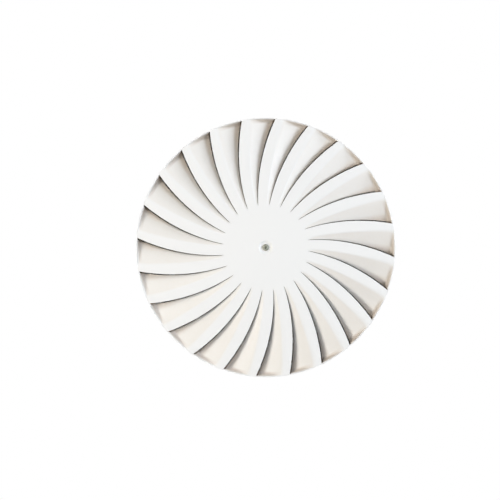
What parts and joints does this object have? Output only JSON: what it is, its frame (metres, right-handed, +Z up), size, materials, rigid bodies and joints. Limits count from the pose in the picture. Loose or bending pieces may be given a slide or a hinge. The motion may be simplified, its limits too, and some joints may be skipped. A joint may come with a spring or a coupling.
{
  "type": "ceiling swirl air diffuser",
  "caption": "Round pressed-steel swirl diffuser on a plenum with a duct spigot, butterfly damper, crossbar and centre screw.",
  "frame": {"origin": "on the diffuser's axis, in the plane of the ceiling's underside, which the plenum's flange meets", "axes": "+Z up along the axis into the ceiling void, so the pressed face looks down -Z; the damper's spindle lies along Y"},
  "size_m": [0.398, 0.398, 0.2295],
  "materials": {
    "white_powder_coat": "satin white polyester powder coat, very fine orange peel",
    "galvanised_steel": "hot-dip galvanised sheet with a fine spangle",
    "zinc_plated_steel": "bright zinc plate",
    "epdm_rubber": "matt black EPDM",
    "foam_seal": "grey closed-cell foam tape",
    "nylon": "natural nylon"
  },
  "bodies": {
    "housing": {"plenum_shell": "galvanised_steel", "plenum_cap": "galvanised_steel", "spigot_collar": "galvanised_steel", "spigot_lip_seal": "epdm_rubber", "baffle_plate": "galvanised_steel", "baffle_post_1": "zinc_plated_steel", "baffle_post_2": "zinc_plated_steel", "baffle_post_3": "zinc_plated_steel", "lower_post_nut_1": "zinc_plated_steel", "lower_post_nut_2": "zinc_plated_steel", "lower_post_nut_3": "zinc_plated_steel", "upper_post_nut_1": "zinc_plated_steel", "upper_post_nut_2": "zinc_plated_steel", "upper_post_nut_3": "zinc_plated_steel", "crossbar": "galvanised_steel", "crossbar_rivet_nut": "zinc_plated_steel", "quadrant_bracket": "galvanised_steel", "spindle_bush_front": "nylon", "spindle_bush_back": "nylon", "hanger_strap_1": "galvanised_steel", "hanger_strap_2": "galvanised_steel", "hanger_strap_3": "galvanised_steel", "hanger_rivet_11": "zinc_plated_steel", "hanger_rivet_12": "zinc_plated_steel", "hanger_rivet_21": "zinc_plated_steel", "hanger_rivet_22": "zinc_plated_steel", "hanger_rivet_31": "zinc_plated_steel", "hanger_rivet_32": "zinc_plated_steel", "crossbar_rivet_1": "zinc_plated_steel", "crossbar_rivet_2": "zinc_plated_steel", "collar_rivet_1": "zinc_plated_steel", "collar_rivet_2": "zinc_plated_steel", "collar_rivet_3": "zinc_plated_steel", "collar_rivet_4": "zinc_plated_steel", "quadrant_rivet_1": "zinc_plated_steel", "quadrant_rivet_2": "zinc_plated_steel"},
    "face": {"face_plate": "white_powder_coat", "face_gasket": "foam_seal", "captive_washer": "nylon"},
    "screw": {"centre_screw": "zinc_plated_steel"},
    "damper": {"damper_blade": "galvanised_steel", "damper_spindle": "zinc_plated_steel", "blade_clamp_1": "galvanised_steel", "blade_clamp_2": "galvanised_steel", "clamp_rivet_11": "zinc_plated_steel", "clamp_rivet_12": "zinc_plated_steel", "clamp_rivet_21": "zinc_plated_steel", "clamp_rivet_22": "zinc_plated_steel", "spindle_clip": "zinc_plated_steel", "damper_lever": "zinc_plated_steel", "lever_nut": "zinc_plated_steel", "locking_bolt": "zinc_plated_steel"},
    "locking_nut": {"wing_nut": "zinc_plated_steel"}
  },
  "joints": [
    {"name": "face_lower", "type": "slide", "parent": "housing", "child": "face", "axis": [0, 0, -1], "range_m": [0, 0.016]},
    {"name": "screw_turn", "type": "hinge", "parent": "face", "child": "screw", "pos_m": [0, 0, 0], "axis": [0, 0, -1], "range_deg": [0, 5761]},
    {"name": "damper_turn", "type": "hinge", "parent": "housing", "child": "damper", "pos_m": [0, 0, 0.137], "axis": [0, 1, 0], "range_deg": [0, 90]},
    {"name": "wing_nut_turn", "type": "hinge", "parent": "damper", "child": "locking_nut", "pos_m": [0, 0.1034, 0.175], "axis": [0, 1, 0], "range_deg": [0, 360]}
  ],
  "couplings": [
    {"joint": "screw_turn", "follows": "face_lower", "rad_per_m": 6283.2}
  ]
}
